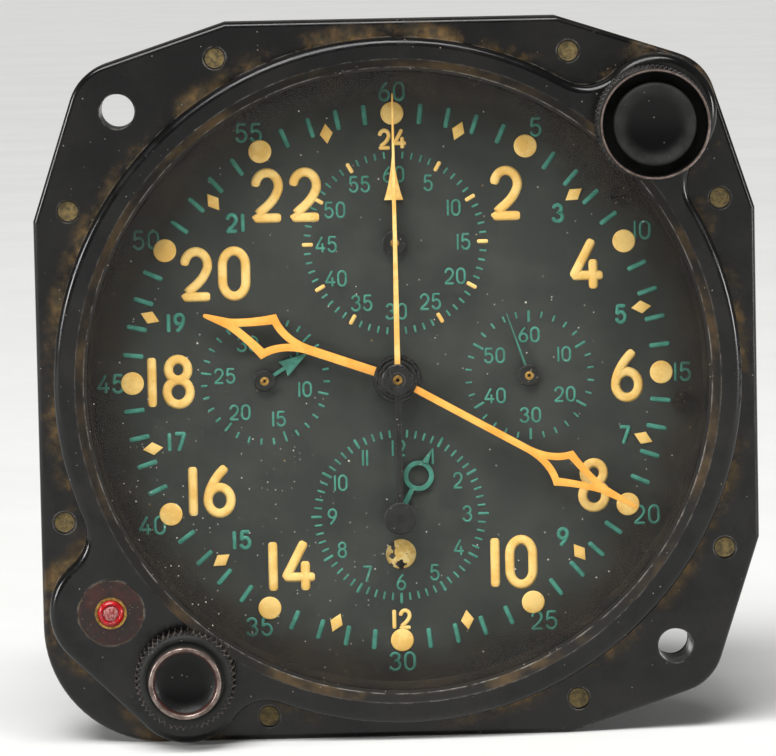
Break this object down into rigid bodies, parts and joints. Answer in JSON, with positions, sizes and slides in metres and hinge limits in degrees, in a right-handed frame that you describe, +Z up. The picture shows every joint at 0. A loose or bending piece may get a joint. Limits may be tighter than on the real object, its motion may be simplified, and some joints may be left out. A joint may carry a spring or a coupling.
{
  "type": "aircraft clock",
  "caption": "Panel clock with 24-hour dial, sweep seconds, minute register, date, elapsed-time counter, winding knob, push knob and a small red date button",
  "frame": {"origin": "centre of the two mounting holes' circle, on the rear face of the mounting flange, which lies on the dial's axis", "axes": "-Y out of the dial towards the viewer, +Z up (12 hours below, 24 above), +X to the right as seen from the front"},
  "size_m": [0.0826, 0.0564, 0.0826],
  "materials": {
    "phenolic": "glossy",
    "case_metal": "satin black",
    "screw_steel": "worn",
    "seal": "matte",
    "crystal": "polished",
    "ring_black": "grimy",
    "dial": "matte",
    "brass": "machined",
    "steel": "ground",
    "hand_yellow": "matte",
    "hand_teal": "matte",
    "status_paint": "matte",
    "knob_black": "worn",
    "label": "worn",
    "button_red": "glossy"
  },
  "bodies": {
    "case": {"front_bezel": "phenolic", "rear_case": "case_metal", "case_screws": "screw_steel", "glass_gasket": "seal", "crystal_glass": "crystal", "dial_spacer_ring": "ring_black", "dial_plate": "dial", "dial_screws": "screw_steel", "movement_ring": "brass", "front_plate": "brass", "rear_plate": "brass", "plate_pillars": "brass", "pallet_cock": "brass", "balance_cock": "brass", "hairspring": "steel", "click_spring": "steel", "stem_bushes": "brass", "date_button_bush": "brass", "button_label_disc": "label", "chronograph_spring": "steel", "date_button_spring": "steel"},
    "barrel": {"mainspring_barrel": "brass", "mainspring": "steel"},
    "barrel_arbor": {"barrel_arbor": "steel", "ratchet_wheel": "brass"},
    "intermediate": {"intermediate_wheel": "brass"},
    "centre": {"centre_wheel": "brass", "cannon_pinion": "steel", "minute_hand": "hand_yellow"},
    "third": {"third_wheel": "brass"},
    "fourth": {"fourth_wheel": "brass", "seconds_hand": "hand_teal"},
    "escape": {"escape_wheel": "brass"},
    "pallet": {"pallet_fork": "steel"},
    "balance": {"balance_wheel": "steel"},
    "minute_work": {"minute_wheel": "brass"},
    "hour": {"hour_wheel": "brass", "hour_hand": "hand_yellow"},
    "sweep": {"sweep_arbor": "steel", "sweep_seconds_hand": "hand_yellow"},
    "transfer": {"register_transfer_wheel": "brass"},
    "register": {"register_wheel": "brass", "register_hand": "hand_yellow"},
    "date": {"date_star_wheel": "brass", "date_hand": "hand_teal"},
    "jumper": {"date_jumper": "steel"},
    "elapsed_minute": {"elapsed_minute_arbor": "steel", "elapsed_minute_hand": "hand_teal"},
    "elapsed_transfer": {"elapsed_transfer_wheel": "brass"},
    "elapsed_hour": {"elapsed_hour_wheel": "brass", "elapsed_hour_hand": "hand_teal"},
    "status": {"status_disc": "status_paint"},
    "click": {"click": "steel"},
    "winding_pinion": {"winding_pinion": "steel"},
    "winding_knob": {"winding_knob": "knob_black"},
    "winding_wheel": {"winding_wheel": "brass"},
    "chronograph_knob": {"chronograph_knob": "knob_black"},
    "chronograph_lever": {"chronograph_lever": "steel"},
    "date_button": {"date_button": "button_red"},
    "date_lever": {"date_lever": "steel"}
  },
  "joints": [
    {"name": "running_seconds", "type": "hinge", "parent": "case", "child": "fourth", "pos_m": [0.01521, 0, 0], "axis": [0, 1, 0], "continuous": true},
    {"name": "third_turn", "type": "hinge", "parent": "case", "child": "third", "pos_m": [0.00894, 0, -0.01012], "axis": [0, 1, 0], "continuous": true},
    {"name": "minute_hand_turn", "type": "hinge", "parent": "case", "child": "centre", "pos_m": [0, 0, 0], "axis": [0, 1, 0], "continuous": true},
    {"name": "intermediate_turn", "type": "hinge", "parent": "case", "child": "intermediate", "pos_m": [-0.01168, 0, 0.00677], "axis": [0, 1, 0], "continuous": true},
    {"name": "barrel_turn", "type": "hinge", "parent": "case", "child": "barrel", "pos_m": [-0.01358, 0, -0.00992], "axis": [0, 1, 0], "continuous": true},
    {"name": "escape_turn", "type": "hinge", "parent": "case", "child": "escape", "pos_m": [0.02143, 0, 0.00742], "axis": [0, 1, 0], "continuous": true},
    {"name": "minute_wheel_turn", "type": "hinge", "parent": "case", "child": "minute_work", "pos_m": [0.00495, 0, 0.00495], "axis": [0, 1, 0], "continuous": true},
    {"name": "hour_hand_turn", "type": "hinge", "parent": "case", "child": "hour", "pos_m": [0, 0, 0], "axis": [0, 1, 0], "continuous": true},
    {"name": "sweep_seconds", "type": "hinge", "parent": "case", "child": "sweep", "pos_m": [0, 0, 0], "axis": [0, 1, 0], "continuous": true},
    {"name": "register_transfer_turn", "type": "hinge", "parent": "case", "child": "transfer", "pos_m": [-0.00396, 0, 0.00808], "axis": [0, 1, 0], "continuous": true},
    {"name": "register_hand_turn", "type": "hinge", "parent": "case", "child": "register", "pos_m": [0, 0, 0.0156], "axis": [0, 1, 0], "continuous": true},
    {"name": "date_turn", "type": "hinge", "parent": "case", "child": "date", "pos_m": [-0.01529, 0, 0], "axis": [0, 1, 0], "continuous": true},
    {"name": "elapsed_minute_turn", "type": "hinge", "parent": "case", "child": "elapsed_minute", "pos_m": [0, 0, -0.0158], "axis": [0, 1, 0], "continuous": true},
    {"name": "elapsed_transfer_turn", "type": "hinge", "parent": "case", "child": "elapsed_transfer", "pos_m": [0.00564, 0, -0.01785], "axis": [0, 1, 0], "continuous": true},
    {"name": "elapsed_hour_turn", "type": "hinge", "parent": "case", "child": "elapsed_hour", "pos_m": [0, 0, -0.0158], "axis": [0, 1, 0], "continuous": true},
    {"name": "status_turn", "type": "hinge", "parent": "case", "child": "status", "pos_m": [0.00005, 0, -0.0242], "axis": [0, 1, 0], "range_deg": [0, 240]},
    {"name": "pallet_swing", "type": "hinge", "parent": "case", "child": "pallet", "pos_m": [0.01862, 0, 0.01143], "axis": [0, 1, 0], "range_deg": [-4, 4]},
    {"name": "balance_swing", "type": "hinge", "parent": "case", "child": "balance", "pos_m": [0.01432, 0, 0.01757], "axis": [0, 1, 0], "range_deg": [-220, 220]},
    {"name": "click_lift", "type": "hinge", "parent": "case", "child": "click", "pos_m": [0.00203, 0, -0.01779], "axis": [0, 1, 0], "range_deg": [0, 6], "deforming": ["click_spring"]},
    {"name": "jumper_lift", "type": "hinge", "parent": "case", "child": "jumper", "pos_m": [-0.02481, 0, 0.00386], "axis": [0, 1, 0], "range_deg": [0, 3]},
    {"name": "winding_turn", "type": "hinge", "parent": "case", "child": "winding_pinion", "pos_m": [-0.025, 0, -0.0331], "axis": [0, 1, 0], "continuous": true},
    {"name": "winding_wheel_turn", "type": "hinge", "parent": "case", "child": "winding_wheel", "pos_m": [-0.0193, 0, -0.02556], "axis": [0, 1, 0], "continuous": true},
    {"name": "ratchet_turn", "type": "hinge", "parent": "case", "child": "barrel_arbor", "pos_m": [-0.01358, 0, -0.00992], "axis": [0, 1, 0], "continuous": true},
    {"name": "winding_knob_pull", "type": "slide", "parent": "winding_pinion", "child": "winding_knob", "axis": [0, -1, 0], "range_m": [0, 0.002]},
    {"name": "chronograph_push", "type": "slide", "parent": "case", "child": "chronograph_knob", "axis": [0, 1, 0], "range_m": [0, 0.001], "stiffness_N_per_m": 400, "springref_m": -0.0008, "deforming": ["chronograph_spring"]},
    {"name": "chronograph_lever_rock", "type": "hinge", "parent": "case", "child": "chronograph_lever", "pos_m": [0.02517, -0.0029, 0.02517], "axis": [-0.7071, 0, 0.7071], "range_deg": [0, 10.11]},
    {"name": "date_push", "type": "slide", "parent": "case", "child": "date_button", "axis": [0, 1, 0], "range_m": [0, 0.0008], "stiffness_N_per_m": 250, "springref_m": -0.0008, "deforming": ["date_button_spring"]},
    {"name": "date_lever_rock", "type": "hinge", "parent": "case", "child": "date_lever", "pos_m": [-0.02821, -0.0029, -0.02171], "axis": [0.6098, 0, -0.7925], "range_deg": [0, 7.02]}
  ],
  "couplings": [
    {"joint": "third_turn", "follows": "running_seconds", "ratio": -0.13333},
    {"joint": "minute_hand_turn", "follows": "running_seconds", "ratio": 0.016667},
    {"joint": "intermediate_turn", "follows": "running_seconds", "ratio": -0.0033333},
    {"joint": "barrel_turn", "follows": "running_seconds", "ratio": 0.00055556},
    {"joint": "escape_turn", "follows": "running_seconds", "ratio": -10},
    {"joint": "minute_wheel_turn", "follows": "running_seconds", "ratio": -0.0041667},
    {"joint": "hour_hand_turn", "follows": "running_seconds", "ratio": 0.00069444},
    {"joint": "register_transfer_turn", "follows": "sweep_seconds", "ratio": -0.125},
    {"joint": "register_hand_turn", "follows": "sweep_seconds", "ratio": 0.016667},
    {"joint": "elapsed_transfer_turn", "follows": "elapsed_minute_turn", "ratio": -0.33333},
    {"joint": "elapsed_hour_turn", "follows": "elapsed_minute_turn", "ratio": 0.083333},
    {"joint": "winding_wheel_turn", "follows": "winding_turn", "ratio": -0.4},
    {"joint": "ratchet_turn", "follows": "winding_turn", "ratio": 0.093333},
    {"joint": "chronograph_lever_rock", "follows": "chronograph_push", "rad_per_m": 176.51},
    {"joint": "date_lever_rock", "follows": "date_push", "rad_per_m": 153.21}
  ]
}
